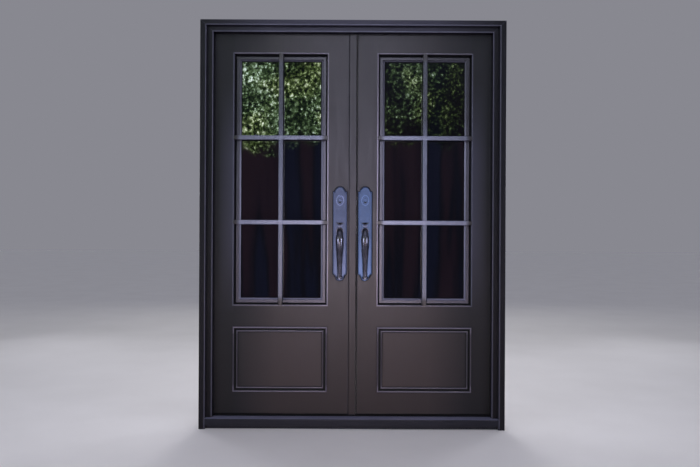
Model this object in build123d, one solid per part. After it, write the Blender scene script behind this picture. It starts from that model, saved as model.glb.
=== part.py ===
from build123d import *
import math
import os

# Pair of steel entry doors (french doors) with their stepped steel frame.
# Row frame: +X to the right seen from outside, +Y to the inside, +Z up,
# origin at the middle of the frame's depth and width, on the sill's underside.

# ---------------------------------------------------------------- dimensions
FRAME_W = 1822.0          # over the casing
FRAME_H = 2438.0          # sill underside to head top
Y_CASING = -61.0          # front of the casing band
Y_STEP = -36.0            # front of the second band
Y_STOP = -2.0             # back of the stop
Y_IN = 61.0               # inside face of frame and leaves
JAMB_BAND = 38.0          # width of the casing band
JAMB_STOP = 76.0          # casing edge to stop edge
JAMB_REBATE = 61.0        # casing edge to rebate wall
HEAD_STOP = 68.0          # the same three bands over the head are a little lower
HEAD_K = HEAD_STOP / JAMB_STOP
FRAME_WALL = 2.5

SILL_TOP = 66.0
SILL_NOSE = 23.0          # underside of the nosing
SILL_TOE = 23.0           # set-back of the base under the nosing
SILL_WALL = 3.0

LEAF_Y0 = 4.0             # outside face of the leaves
LEAF_Y1 = 61.0
LEAF_Z0 = 78.0
LEAF_Z1 = 2382.0
LEAF_EDGE = 847.0         # hinge edge, from the centre line
MEET_RIGHT = 28.0         # meeting edge of the right leaf, outside
MEET_RIGHT_IN = 25.3      # the same edge inside: it is bevelled, so that the gap closes inwards
MEET_LEFT = 25.0          # where the left leaf's stile meets the astragal
OPEN_X0, OPEN_X1 = 155.0, 715.0
OPEN_Z0, OPEN_Z1 = 736.0, 2247.0
PANEL_Z0, PANEL_Z1 = 214.0, 598.0
LEAF_WALL = 3.0
R_OPEN = 5.0              # rounding of the glazed opening's outer edge
R_LEAF = 3.0

MUNTIN_W = 27.0
MUNTIN_D = 25.0
MUNTIN_X = 435.0
MUNTIN_Z = (1232.5, 1743.5)

SASH_GAP = 5.0
SASH_Y0, SASH_Y1 = 40.0, 62.0
SASH_FACE = 32.0
GLASS_Y0, GLASS_Y1 = 49.0, 57.0
GLASS_BITE = 10.0

HINGE_X, HINGE_Y = 849.0, 74.0
HINGE_R = 12.0
HINGE_LEN = 45.0          # one knuckle
HINGE_PIN_R = 6.0
HINGE_Z = (330.0, 1230.0, 2130.0)
RUN = 0.05                # radial running clearance

SH_X, SH_Y, SH_R, SH_PIN_R = 712.5, 68.0, 5.0, 2.5
SH_Z = (900.0, 1491.0, 2080.0)

AST_X0, AST_X1 = -25.0, 22.0
AST_X1_IN = 24.9          # the astragal's free edge inside
AST_Y0 = 0.0

PLATE_X = 76.0
PLATE_HW = 40.5
PLATE_T = 6.0
PLATE_Z0, PLATE_Z1 = 883.0, 1448.0
PLATE_TOP_SH, PLATE_BOT_SH = 1418.0, 925.0
PLATE_ARCH_R = 30.0
CYL_Z = 1358.0
CYL_R = 9.0
COVER_PIN_Z = 1388.0
THUMB_Z = 1241.0          # pivot of the thumb piece, above its slot
KNOB_Z = 1205.0
LATCH_X, LATCH_Z = 136.0, (1000.0, 1950.0)

BOLT_X, BOLT_Y, BOLT_R, BOLT_THROW = -60.0, 32.0, 6.0, 20.0
ANCHOR_Y = (15.0, 45.0)
ANCHOR_Z = (320.0, 2120.0)
ANCHOR_R = 4.5


# ------------------------------------------------------------------- helpers
def bx(x0, x1, y0, y1, z0, z1):
    return Pos((x0 + x1) / 2, (y0 + y1) / 2, (z0 + z1) / 2) * Box(x1 - x0, y1 - y0, z1 - z0)


def cyl_y(x, z, r, y0, y1):
    return extrude(Plane.XZ.offset(-y1) * Pos(x, z) * Circle(r), amount=y1 - y0, dir=(0, -1, 0))


def cyl_z(x, y, r, z0, z1):
    return extrude(Plane.XY.offset(z0) * Pos(x, y) * Circle(r), amount=z1 - z0, dir=(0, 0, 1))


def cyl_x(y, z, r, x0, x1):
    return extrude(Plane.YZ.offset(x0) * Pos(y, z) * Circle(r), amount=x1 - x0, dir=(1, 0, 0))


def prism_z(sk, z0, z1):
    return extrude(Plane.XY.offset(z0) * sk, amount=z1 - z0, dir=(0, 0, 1))


def prism_x(sk, x0, x1):
    return extrude(Plane.YZ.offset(x0) * sk, amount=x1 - x0, dir=(1, 0, 0))


def prism_y(sk, y0, y1):
    return extrude(Plane.XZ.offset(-y1) * sk, amount=y1 - y0, dir=(0, -1, 0))


def poly(*pts):
    return Polygon(*pts, align=None)


def near(sk, x, y):
    return min(sk.vertices(), key=lambda v: (v.X - x) ** 2 + (v.Y - y) ** 2)


def left(shape):
    return mirror(shape, about=Plane.YZ)


def mitred_ring(section, x0, x1, z0, z1, w):
    # section(side) is a face drawn as (distance inward, y); four mitred runs
    big = 5.0
    out = None
    yr = 400.0
    runs = [
        # left upright, right upright, bottom, top
        (prism_z(section(1, x0), z0, z1), poly((x0 - big, z0 - big), (x0 + w, z0 + w), (x0 + w, z1 - w), (x0 - big, z1 + big))),
        (prism_z(section(-1, x1), z0, z1), poly((x1 + big, z0 - big), (x1 - w, z0 + w), (x1 - w, z1 - w), (x1 + big, z1 + big))),
        (prism_x(section(2, z0), x0, x1), poly((x0 - big, z0 - big), (x1 + big, z0 - big), (x1 - w, z0 + w), (x0 + w, z0 + w))),
        (prism_x(section(-2, z1), x0, x1), poly((x0 - big, z1 + big), (x1 + big, z1 + big), (x1 - w, z1 - w), (x0 + w, z1 - w))),
    ]
    for run, mask in runs:
        piece = run & prism_y(mask, -yr, yr)
        out = piece if out is None else out + piece
    return out


def placed(edges, side, at):
    # turn a section given as line/arc tuples in (t, y) into a face for one run
    segs = []
    for e in edges:
        pts = []
        for t, y in e:
            if side == 1:
                pts.append((at + t, y))
            elif side == -1:
                pts.append((at - t, y))
            elif side == 2:
                pts.append((y, at + t))
            else:
                pts.append((y, at - t))
        segs.append(Line(*pts) if len(pts) == 2 else ThreePointArc(*pts))
    return make_face(segs)


PARTS = {}


def put(name, shape):
    solids = shape.solids()
    vol = sum(s.volume for s in solids)
    print(f"{name:28s} solids {len(solids)}  volume {vol/1000:10.1f} cm3")
    shape = solids[0] if len(solids) == 1 else Compound(children=list(solids))
    shape.label = name
    PARTS[name] = shape
    export_step(shape, f"parts/{name}.step")


# --------------------------------------------------------------------- frame
HX = FRAME_W / 2


def frame_section(k):
    # (distance inward * k, y) outline of the stepped casing, band and stop
    pts = [(0, Y_CASING), (JAMB_BAND, Y_CASING), (JAMB_BAND, Y_STEP), (JAMB_STOP, Y_STEP),
           (JAMB_STOP, Y_STOP), (JAMB_REBATE, Y_STOP), (JAMB_REBATE, Y_IN), (0, Y_IN)]
    sk = poly(*[(u * k, y) for u, y in pts])
    sk = fillet([near(sk, JAMB_BAND * k, Y_CASING)], 6.0)
    sk = fillet([near(sk, 0, Y_CASING)], 3.0)
    sk = fillet([near(sk, JAMB_STOP * k, Y_STEP)], 5.0)
    w = FRAME_WALL
    hollow = poly((w, Y_CASING + w), (JAMB_BAND * k - w, Y_CASING + w), (JAMB_BAND * k - w, Y_STEP + w),
                  (JAMB_STOP * k - w, Y_STEP + w), (JAMB_STOP * k - w, Y_STOP - w),
                  (JAMB_REBATE * k - w, Y_STOP - w), (JAMB_REBATE * k - w, Y_IN - w), (w, Y_IN - w))
    hollow = fillet([near(hollow, JAMB_BAND * k - w, Y_CASING + w)], 3.5)
    hollow = fillet([near(hollow, JAMB_STOP * k - w, Y_STEP + w)], 2.5)
    return sk, hollow


js, jh = frame_section(1.0)
hs, hh = frame_section(HEAD_K)

jamb_full = Pos(-HX, 0, 0) * extrude(js, amount=FRAME_H, dir=(0, 0, 1))
jamb_void = Pos(-HX, 0, 0) * extrude(jh, amount=FRAME_H, dir=(0, 0, 1))
# mitre from the outer corner to the stop's corner
slope = HEAD_STOP / JAMB_STOP
above = prism_y(poly((-HX - 50, FRAME_H + 50 * slope), (-HX + 200, FRAME_H - 200 * slope),
                     (-HX + 200, FRAME_H + 200), (-HX - 50, FRAME_H + 200)), -100, 100)
left_jamb = jamb_full - jamb_void - above
for z in ANCHOR_Z:
    for y in ANCHOR_Y:
        left_jamb -= cyl_x(y, z, ANCHOR_R, -HX - 5, -HX + JAMB_REBATE + 5)
put("left_jamb", left_jamb)
put("right_jamb", left(left_jamb))

# head: the section's (inward, y) becomes (y, down)
def head_run(sk, x0, x1):
    pl = Plane(origin=(x0, 0, FRAME_H), x_dir=(0, 0, -1), z_dir=(1, 0, 0))
    return extrude(pl * sk, amount=x1 - x0, dir=(1, 0, 0))


head = head_run(hs, -HX, HX) - head_run(hh, -HX, HX)
below = prism_y(poly((-HX - 50, FRAME_H + 50 * slope), (-HX + 200, FRAME_H - 200 * slope),
                     (-HX + 200, FRAME_H - 400), (-HX - 50, FRAME_H - 400)), -100, 100)
head = head - below - left(below)
head -= cyl_z(BOLT_X, BOLT_Y, BOLT_R + 0.5, FRAME_H - 70, FRAME_H - 40)
put("head_jamb", head)

sill_pts = [(Y_CASING, SILL_NOSE), (Y_CASING, SILL_TOP - 3), (-15.0, SILL_TOP), (Y_IN, SILL_TOP),
            (Y_IN, 0), (Y_CASING + SILL_TOE, 0), (Y_CASING + SILL_TOE, SILL_NOSE)]
sk = poly(*sill_pts)
sk = fillet([near(sk, Y_CASING, SILL_TOP - 3)], 5.0)
sk = fillet([near(sk, Y_CASING, SILL_NOSE)], 2.0)
w = SILL_WALL
void = poly((Y_CASING + w, SILL_NOSE + w), (Y_CASING + w, SILL_TOP - 3 - w), (-15.0, SILL_TOP - w),
            (Y_IN - w, SILL_TOP - w), (Y_IN - w, w), (Y_CASING + SILL_TOE + w, w),
            (Y_CASING + SILL_TOE + w, SILL_NOSE + w))
sill = prism_x(sk, -HX, HX) - prism_x(void, -HX, HX)
sill = sill - jamb_full - left(jamb_full)
sill = max(sill.solids(), key=lambda s: s.volume)
sill = sill - cyl_z(BOLT_X, BOLT_Y, BOLT_R + 0.5, SILL_TOP - 10, SILL_TOP + 5)
put("threshold", sill)

SEAL_OUT, SEAL_IN = 846.0, 836.5
HEAD_REB = FRAME_H - JAMB_REBATE * HEAD_K        # underside of the head's rebate
ws = bx(-SEAL_OUT, -SEAL_IN, Y_STOP, 3.6, SILL_TOP, 2381.0)
ws += bx(SEAL_IN, SEAL_OUT, Y_STOP, 3.6, SILL_TOP, 2381.0)
ws += bx(-SEAL_OUT, SEAL_OUT, Y_STOP, 3.6, 2371.0, 2381.0)
ws += bx(-SEAL_OUT, SEAL_OUT, Y_STOP, 14.0, SILL_TOP, 77.2)
put("frame_weatherstrip", ws)

fk_all, pins, bearings = [], [], []
door_kn = []
for zc in HINGE_Z:
    low = cyl_z(HINGE_X, HINGE_Y, HINGE_R, zc - 1.5 - HINGE_LEN, zc - 1.5)
    low += bx(HINGE_X + 2, 893.0, Y_IN, Y_IN + 6.0, zc - 1.5 - HINGE_LEN, zc - 1.5)
    low -= cyl_z(HINGE_X, HINGE_Y, HINGE_PIN_R + RUN, zc - 1.5 - HINGE_LEN + 3, zc)
    fk_all.append(low)
    up = cyl_z(HINGE_X, HINGE_Y, HINGE_R, zc + 1.7, zc + 1.7 + HINGE_LEN)
    up += bx(804.0, HINGE_X - 3.0, Y_IN, Y_IN + 6.0, zc + 1.7, zc + 1.7 + HINGE_LEN)
    up -= cyl_z(HINGE_X, HINGE_Y, HINGE_PIN_R + RUN, zc, zc + 1.7 + HINGE_LEN - 3)
    door_kn.append(up)
    pins.append(cyl_z(HINGE_X, HINGE_Y, HINGE_PIN_R, zc - 1.5 - HINGE_LEN + 3, zc + HINGE_LEN - 2))
    bearings.append(cyl_z(HINGE_X, HINGE_Y, HINGE_R - 0.5, zc - 1.5, zc + 1.5)
                    - cyl_z(HINGE_X, HINGE_Y, HINGE_PIN_R + RUN, zc - 3, zc + 3))


def pack(shapes):
    return Compound(children=[s for sh in shapes for s in sh.solids()])


put("hinge_frame_knuckles", pack(fk_all + [left(s) for s in fk_all]))
put("hinge_pins", pack(pins + [left(s) for s in pins]))
put("hinge_bearings", pack(bearings + [left(s) for s in bearings]))
put("right_hinge_door_knuckles", pack(door_kn))
put("left_hinge_door_knuckles", pack([left(s) for s in door_kn]))


# --------------------------------------------------------------------- leaves
def plate_outline():
    # arched top on square shoulders, ogee bottom; drawn about x = 0, z real
    hw, r = PLATE_HW, PLATE_ARCH_R
    zt, zb = PLATE_TOP_SH, PLATE_BOT_SH
    lines = [
        Line((-hw, zb), (-hw, zt)),
        Line((-hw, zt), (-r, zt)),
        ThreePointArc((-r, zt), (0, zt + r), (r, zt)),
        Line((r, zt), (hw, zt)),
        Line((hw, zt), (hw, zb)),
        # right ogee: hollow then round to the tip
        Line((hw, zb), (hw - 3, zb - 4)),
        ThreePointArc((hw - 3, zb - 4), (hw - 13, zb - 14), (hw - 17, zb - 26)),
        ThreePointArc((hw - 17, zb - 26), (0, PLATE_Z0), (-hw + 17, zb - 26)),
        ThreePointArc((-hw + 17, zb - 26), (-hw + 13, zb - 14), (-hw + 3, zb - 4)),
        Line((-hw + 3, zb - 4), (-hw, zb)),
    ]
    return make_face(lines)


def plate_blank(y_back, y_front):
    # bevelled round its visible edge
    sk = Pos(PLATE_X, 0) * plate_outline()
    y0, y1 = min(y_back, y_front), max(y_back, y_front)
    body = prism_y(sk, y0, y1)
    face = body.faces().sort_by(Axis.Y)[0 if y_front < y_back else -1]
    edges = face.outer_wire().edges()
    for a, b in ((3.0, 6.0), (3.0, 4.5), (2.5, 2.5), (1.5, 1.5)):
        try:
            if a == b:
                out = chamfer(edges, a)
            else:
                out = chamfer(edges, length=b, length2=a, reference=face)
            if out.is_valid and out.volume < body.volume:
                print("plate bevel", a, b)
                return out
        except Exception as err:
            print("plate bevel retry", a, b, type(err).__name__)
    return body


def grip():
    # cast pull: swelling grip on a goose neck, foot with a bead
    path = [(-2.0, 1181.0, 19.0), (-14.0, 1181.5, 18.2), (-27.0, 1179.0, 17.8), (-39.5, 1169.0, 18.6),
            (-48.0, 1149.0, 21.6), (-51.0, 1118.0, 23.4), (-50.0, 1075.0, 21.2), (-48.0, 1020.0, 17.3),
            (-46.0, 965.0, 14.6), (-44.5, 925.0, 13.4), (-44.0, 900.0, 13.4)]
    secs = []
    for i, (y, z, r) in enumerate(path):
        a = path[max(i - 1, 0)]
        b = path[min(i + 1, len(path) - 1)]
        d = Vector(0, b[0] - a[0], b[1] - a[1])
        if i == 0:
            d = Vector(0, -1, 0)
        if i == len(path) - 1:
            d = Vector(0, 0, -1)
        secs.append(Plane(origin=(PLATE_X, y, z), x_dir=(1, 0, 0), z_dir=d) * Circle(r))
    body = loft(secs)
    # foot stem, bead and flanges on the plate
    bead = Cylinder(18.5, 18.0)
    bead = fillet(bead.edges().filter_by(GeomType.CIRCLE), 8.5)
    foot = Pos(PLATE_X, -44.0, 903.5) * bead
    foot = foot + cyl_y(PLATE_X, 904.0, 9.0, -44.0, -2.0)
    foot = foot + cyl_y(PLATE_X, 904.0, 15.0, -6.0, -2.0)
    body = body + cyl_y(PLATE_X, 1181.0, 20.5, -5.0, -2.0)
    body = body + foot
    return body


def thumb():
    # rocking thumb piece: pivot behind the plate, stem through the slot, dished pad
    prof = make_face([
        Line((13.0, THUMB_Z), (12.5, 1229.0)), Line((12.5, 1229.0), (6.5, 1221.0)), Line((6.5, 1221.0), (-4.0, 1220.4)),
        ThreePointArc((-4.0, 1220.4), (-15.0, 1214.6), (-21.6, 1204.4)),
        Line((-21.6, 1204.4), (-24.6, 1205.4)),
        ThreePointArc((-24.6, 1205.4), (-17.6, 1217.4), (-5.5, 1224.2)),
        Line((-5.5, 1224.2), (3.5, 1225.4)), Line((3.5, 1225.4), (7.2, 1231.0)),
        Line((7.2, 1231.0), (7.5, THUMB_Z)), Line((7.5, THUMB_Z), (13.0, THUMB_Z))])
    pad = prism_x(prof, PLATE_X - 13.5, PLATE_X + 13.5)
    # seen from outside: a narrow neck in the slot and a rounded tongue below it
    face = make_face([Line((-5, 1260), (-5, 1220.8)), Line((-5, 1220.8), (-13.5, 1216)), Line((-13.5, 1216), (-13.0, 1211.5)),
                      ThreePointArc((-13.0, 1211.5), (0, 1203.4), (13.0, 1211.5)),
                      Line((13.0, 1211.5), (13.5, 1216)), Line((13.5, 1216), (5, 1220.8)), Line((5, 1220.8), (5, 1260)),
                      Line((5, 1260), (-5, 1260))])
    pad = pad & prism_y(Pos(PLATE_X, 0) * face, -60, 30)
    pad += cyl_x(10.0, THUMB_Z, 3.0, PLATE_X - 20, PLATE_X + 20)
    pad += bx(PLATE_X - 4, PLATE_X + 4, 10.0, 18.5, THUMB_Z - 3, THUMB_Z + 3)
    return pad


def cover():
    # teardrop drop cover hung from its pin
    r = 11.5
    zc = 1369.5
    drop = make_face([ThreePointArc((-4.5, COVER_PIN_Z + 1), (0, COVER_PIN_Z + 5.5), (4.5, COVER_PIN_Z + 1)),
                      Line((4.5, COVER_PIN_Z + 1), (r - 1.2, zc + 5)),
                      ThreePointArc((r - 1.2, zc + 5), (0, zc - r), (-r + 1.2, zc + 5)),
                      Line((-r + 1.2, zc + 5), (-4.5, COVER_PIN_Z + 1))])
    c = prism_y(Pos(PLATE_X, 0) * drop, -8.0, -5.2)
    c = chamfer(c.faces().sort_by(Axis.Y)[0].outer_wire().edges(), 0.8)
    c += cyl_y(PLATE_X, zc - 2, 4.2, -9.6, -8.0)
    c -= cyl_y(PLATE_X, COVER_PIN_Z, 2.05, -12, 0)
    return c


def knob():
    head = cyl_y(PLATE_X, KNOB_Z, 26.0, 90.0, 124.0)
    head = fillet(head.faces().sort_by(Axis.Y)[-1].edges(), 14.0)
    head = fillet(head.faces().sort_by(Axis.Y)[0].edges(), 16.0)
    k = head + cyl_y(PLATE_X, KNOB_Z, CYL_R, 58.0, 104.0)
    k += cyl_y(PLATE_X, KNOB_Z, 12.5, 84.0, 93.0)
    k += bx(PLATE_X - 4, PLATE_X + 4, 46.5, 58, KNOB_Z - 4, KNOB_Z + 4)
    return k


def key_plug(y_in):
    c = cyl_y(PLATE_X, CYL_Z, CYL_R, -4.6, y_in)
    c -= cyl_y(PLATE_X, CYL_Z - 3.2, 2.6, -6, 4)
    c -= bx(PLATE_X - 1.4, PLATE_X + 1.4, -6, 4, CYL_Z - 8.6, CYL_Z - 3)
    return c


def turn_button(zc):
    b = cyl_y(LATCH_X, zc, 9.0, 61.2, 70.0)
    b += bx(LATCH_X - 4.5, LATCH_X + 4.5, 62.6, 66.6, zc, zc + 40)
    b += cyl_y(LATCH_X, zc + 40, 4.5, 62.6, 66.6)
    b += bx(LATCH_X - 2.5, LATCH_X + 2.5, 66.6, 80.0, zc - 14, zc + 14)
    b += cyl_y(LATCH_X, zc, 3.0, 50.0, 61.2)
    return b


def right_edge(y):
    # free edge of the right leaf at depth y
    return MEET_RIGHT + (MEET_RIGHT_IN - MEET_RIGHT) * (y - LEAF_Y0) / (LEAF_Y1 - LEAF_Y0)


def ast_edge(y):
    # free edge of the astragal at depth y
    return AST_X1 + (AST_X1_IN - AST_X1) * (y - AST_Y0) / (LEAF_Y1 - AST_Y0)


def leaf(side):
    is_right = side == "right"
    edge = MEET_RIGHT if is_right else MEET_LEFT
    P = side + "_"

    def give(name, shape):
        put(name, shape if is_right else left(shape))

    blank = bx(MEET_RIGHT_IN if is_right else edge, LEAF_EDGE, LEAF_Y0, LEAF_Y1, LEAF_Z0, LEAF_Z1)
    if is_right:
        # bevel of the free edge
        blank -= prism_z(poly((right_edge(-6), -6), (right_edge(71), 71), (15, 71), (15, -6)), 0, 2500)
    outer =[e for e in blank.edges() if abs(e.center().Y - LEAF_Y0) < 0.1]
    outer = [e for e in outer if is_right or abs(e.center().X - edge) > 1]
    blank = fillet(outer, R_LEAF)
    blank -= bx(OPEN_X0, OPEN_X1, 0, 70, OPEN_Z0, OPEN_Z1)
    ed = [e for e in blank.edges() if abs(e.center().Y - LEAF_Y0) < 0.01
          and OPEN_X0 - 1 < e.center().X < OPEN_X1 + 1 and OPEN_Z0 - 1 < e.center().Z < OPEN_Z1 + 1]
    blank = fillet(ed, R_OPEN)
    blank -= bx(OPEN_X0, OPEN_X1, 0, 70, PANEL_Z0, PANEL_Z1)

    W = LEAF_WALL
    ya, yb = LEAF_Y0 + W, LEAF_Y1 - W
    hinge_st = (blank & bx(OPEN_X1, LEAF_EDGE + 5, 0, 70, 0, 2500)) \
        - bx(OPEN_X1 + W, LEAF_EDGE - W, ya, yb, LEAF_Z0 - 5, LEAF_Z1 - W)
    give(P + "hinge_stile", hinge_st)

    meet = (blank & bx(edge - 5, OPEN_X0, 0, 70, 0, 2500)) \
        - bx(edge + W, OPEN_X0 - W, ya, yb, LEAF_Z0 - 5, LEAF_Z1 - W)
    # thumb and cylinder cut-outs outside, knob and stud holes inside
    meet -= bx(PLATE_X - 24, PLATE_X + 24, 0, ya + 1, THUMB_Z - 25, THUMB_Z + 9)
    meet -= cyl_y(PLATE_X, CYL_Z, 14.0, 0, ya + 1)
    meet -= cyl_y(PLATE_X, KNOB_Z, 12.0, yb - 1, 70)
    for z in LATCH_Z:
        meet -= cyl_y(LATCH_X, z, 3.0 + RUN, yb - 1, 70)
    if is_right:
        meet -= cyl_y(PLATE_X, CYL_Z, 12.0, yb - 1, 70)
        meet -= bx(edge - 4, edge + W, 19, 46, 1165, 1395)
    else:
        bxm = -BOLT_X
        meet -= cyl_z(bxm, BOLT_Y, BOLT_R + 0.3, LEAF_Z1 - 6, LEAF_Z1 + 5)
        meet -= bx(bxm - 4.5, bxm + 4.5, yb - 1, 70, 2215.5, 2244.5)
        meet -= bx(bxm - 4.5, bxm + 4.5, yb - 1, 70, 215.5, 244.5)
    give(P + "meeting_stile", meet)

    for nm, z0, z1 in (("top_rail", OPEN_Z1, LEAF_Z1), ("lock_rail", PANEL_Z1, OPEN_Z0),
                       ("bottom_rail", LEAF_Z0, PANEL_Z0)):
        rail = (blank & bx(OPEN_X0, OPEN_X1, 0, 70, z0, z1)) - bx(OPEN_X0 - 1, OPEN_X1 + 1, ya, yb, z0 + W, z1 - W)
        give(P + nm, rail)

    panel = bx(OPEN_X0, OPEN_X1, 10, 55, PANEL_Z0, PANEL_Z1) - bx(OPEN_X0 - 1, OPEN_X1 + 1, 13, 52, PANEL_Z0 + 3, PANEL_Z1 - 3)
    give(P + "kick_panel", panel)

    # double-bead moulding, outside and inside
    def sec_out(sd, at):
        return placed([((0, 4), (5.5, -2.5), (11, 4)), ((11, 4), (11, 8.5)), ((11, 8.5), (21, 8.5)),
                       ((21, 8.5), (26.5, 3.0), (32, 8.5)), ((32, 8.5), (34, 10)), ((34, 10), (5, 10)),
                       ((5, 10), (5, 4)), ((5, 4), (0, 4))], sd, at)

    def sec_in(sd, at):
        return placed([((0, 61), (5.5, 67.5), (11, 61)), ((11, 61), (11, 56.5)), ((11, 56.5), (21, 56.5)),
                       ((21, 56.5), (26.5, 62.0), (32, 56.5)), ((32, 56.5), (34, 55)), ((34, 55), (5, 55)),
                       ((5, 55), (5, 61)), ((5, 61), (0, 61))], sd, at)

    m1 = mitred_ring(sec_out, OPEN_X0 - 5, OPEN_X1 + 5, PANEL_Z0 - 5, PANEL_Z1 + 5, 40)
    m2 = mitred_ring(sec_in, OPEN_X0 - 5, OPEN_X1 + 5, PANEL_Z0 - 5, PANEL_Z1 + 5, 40)
    give(P + "panel_moulding", pack([m1, m2]))

    # flat muntin bars, flush with the leaf's face, running into its rounded edge
    h = MUNTIN_W / 2
    yb0, yb1 = LEAF_Y0, LEAF_Y0 + MUNTIN_D
    v = bx(MUNTIN_X - h, MUNTIN_X + h, yb0, yb1, OPEN_Z0 - 6, OPEN_Z1 + 6)
    g = v
    for z in MUNTIN_Z:
        g += bx(OPEN_X0 - 6, OPEN_X1 + 6, yb0, yb1, z - h, z + h)
    ged = [e for e in g.edges() if abs(e.center().Y - yb0) < 0.01 and e.length > 60]
    try:
        g2 = fillet(ged, 4.0)
        if g2.is_valid:
            g = g2
    except Exception as err:
        print("muntin fillet", type(err).__name__)
        g = chamfer(ged, 2.5)
    g -= blank
    give(P + "muntin_grille", max(g.solids(), key=lambda s: s.volume))

    # gasket that the glazed sash closes against
    o, i = 0.0, 10.0
    seal = bx(OPEN_X0, OPEN_X1, 30.5, 39.6, OPEN_Z0, OPEN_Z1) \
        - bx(OPEN_X0 + 9, OPEN_X1 - 9, 30, 40, OPEN_Z0 + 9, OPEN_Z1 - 9)
    give(P + "sash_seal", seal)

    # glazed sash: tube with a bevelled bead and a groove round the sealed unit
    sx0, sx1 = OPEN_X0 + SASH_GAP, OPEN_X1 - SASH_GAP
    sz0, sz1 = OPEN_Z0 + SASH_GAP, OPEN_Z1 - SASH_GAP
    F, B = SASH_FACE, GLASS_BITE

    def sec_sash(sd, at):
        pts = [(0, SASH_Y0 + 1.5), (1.5, SASH_Y0), (F - 12, SASH_Y0), (F - 10.5, SASH_Y0 + 1.5), (F - 1, SASH_Y0 + 6.5),
               (F, SASH_Y0 + 7.5), (F, GLASS_Y0),
               (F - B, GLASS_Y0), (F - B, GLASS_Y1), (F, GLASS_Y1), (F, SASH_Y1 - 2), (F - 2, SASH_Y1), (0, SASH_Y1)]
        return placed([(pts[n], pts[(n + 1) % len(pts)]) for n in range(len(pts))], sd, at)

    sash = mitred_ring(sec_sash, sx0, sx1, sz0, sz1, 40)
    brackets = []
    for zc in SH_Z:
        k = cyl_z(SH_X, SH_Y, SH_R, zc - 15, zc + 15) + bx(694.0, SH_X - 2.0, SASH_Y1, SASH_Y1 + 4, zc - 15, zc + 15)
        k -= cyl_z(SH_X, SH_Y, SH_PIN_R + RUN, zc - 20, zc + 20)
        sash += k
        b = cyl_z(SH_X, SH_Y, SH_PIN_R, zc - 30, zc + 30)
        for a0, a1 in ((-30, -15.3), (15.3, 30)):
            b += cyl_z(SH_X, SH_Y, SH_R, zc + a0, zc + a1)
            b += bx(SH_X + 3.0, 732.0, Y_IN, Y_IN + 4, zc + a0, zc + a1)
            b += bx(SH_X + 3.0, SH_X + 5.0, Y_IN, SH_Y, zc + a0, zc + a1)
        brackets.append(b)
    give(P + "sash_frame", sash)
    give(P + "sash_hinge", pack(brackets))
    give(P + "sash_glass", bx(sx0 + F - B, sx1 - F + B, GLASS_Y0, GLASS_Y1, sz0 + F - B, sz1 - F + B))
    give(P + "sash_latch_lower", turn_button(LATCH_Z[0]))
    give(P + "sash_latch_upper", turn_button(LATCH_Z[1]))

    # outer plate with thumb slot, oval cylinder ring and pivot lugs
    pl = plate_blank(LEAF_Y0, LEAF_Y0 - PLATE_T)
    ring = prism_y(Pos(PLATE_X, 1366) * (Ellipse(23, 31) - Ellipse(19.5, 27.5)), -4.2, -2.0)
    pl += ring
    pl += cyl_y(PLATE_X, COVER_PIN_Z, 2.0, -9.0, -2.0)
    pl += cyl_y(PLATE_X, COVER_PIN_Z, 3.6, -10.2, -8.4)
    pl += cyl_y(PLATE_X, COVER_PIN_Z, 3.6, -4.8, -2.0)
    pl -= cyl_y(PLATE_X, CYL_Z, CYL_R + 0.08, -12, 10)
    slot = make_face([Line((-23, 1232.5), (23, 1232.5)), ThreePointArc((23, 1232.5), (0, 1219.2), (-23, 1232.5))])
    pl -= prism_y(Pos(PLATE_X, 0) * slot, -12, 10)
    for d in (-1, 1):
        xa, xb = PLATE_X + d * 14, PLATE_X + d * 20
        lug = bx(min(xa, xb), max(xa, xb), LEAF_Y0, 15, THUMB_Z - 6, THUMB_Z + 6)
        lug -= cyl_x(10.0, THUMB_Z, 3.0 + RUN, PLATE_X - 30, PLATE_X + 30)
        pl += lug
    give(P + "outer_plate", pl)
    give(P + "pull_grip", grip())
    give(P + "thumb_piece", thumb())
    give(P + "keyhole_cover", cover())

    ip = plate_blank(LEAF_Y1, LEAF_Y1 + PLATE_T - 1)
    ip += cyl_y(PLATE_X, KNOB_Z, 21.0, LEAF_Y1 + PLATE_T - 1, LEAF_Y1 + PLATE_T + 4)
    ip -= cyl_y(PLATE_X, KNOB_Z, CYL_R + 0.08, 60, 80)
    if is_right:
        ip += cyl_y(PLATE_X, CYL_Z, 16.0, LEAF_Y1 + PLATE_T - 1, LEAF_Y1 + PLATE_T + 2)
        ip -= cyl_y(PLATE_X, CYL_Z, 7.0 + 0.08, 60, 80)
    give(P + "inner_plate", ip)
    give(P + "inner_knob", knob())
    give(P + "cylinder", key_plug(18.0))

    if is_right:
        tt = cyl_y(PLATE_X, CYL_Z, 7.0, 58, 72)
        tt += prism_y(Pos(PLATE_X, CYL_Z) * Ellipse(8.0, 17.0), 72.0, 88.0)
        tt += bx(PLATE_X - 3, PLATE_X + 3, 19.0, 58, CYL_Z - 1.5, CYL_Z + 1.5)
        put("thumbturn", tt)


leaf("left")
leaf("right")

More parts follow.
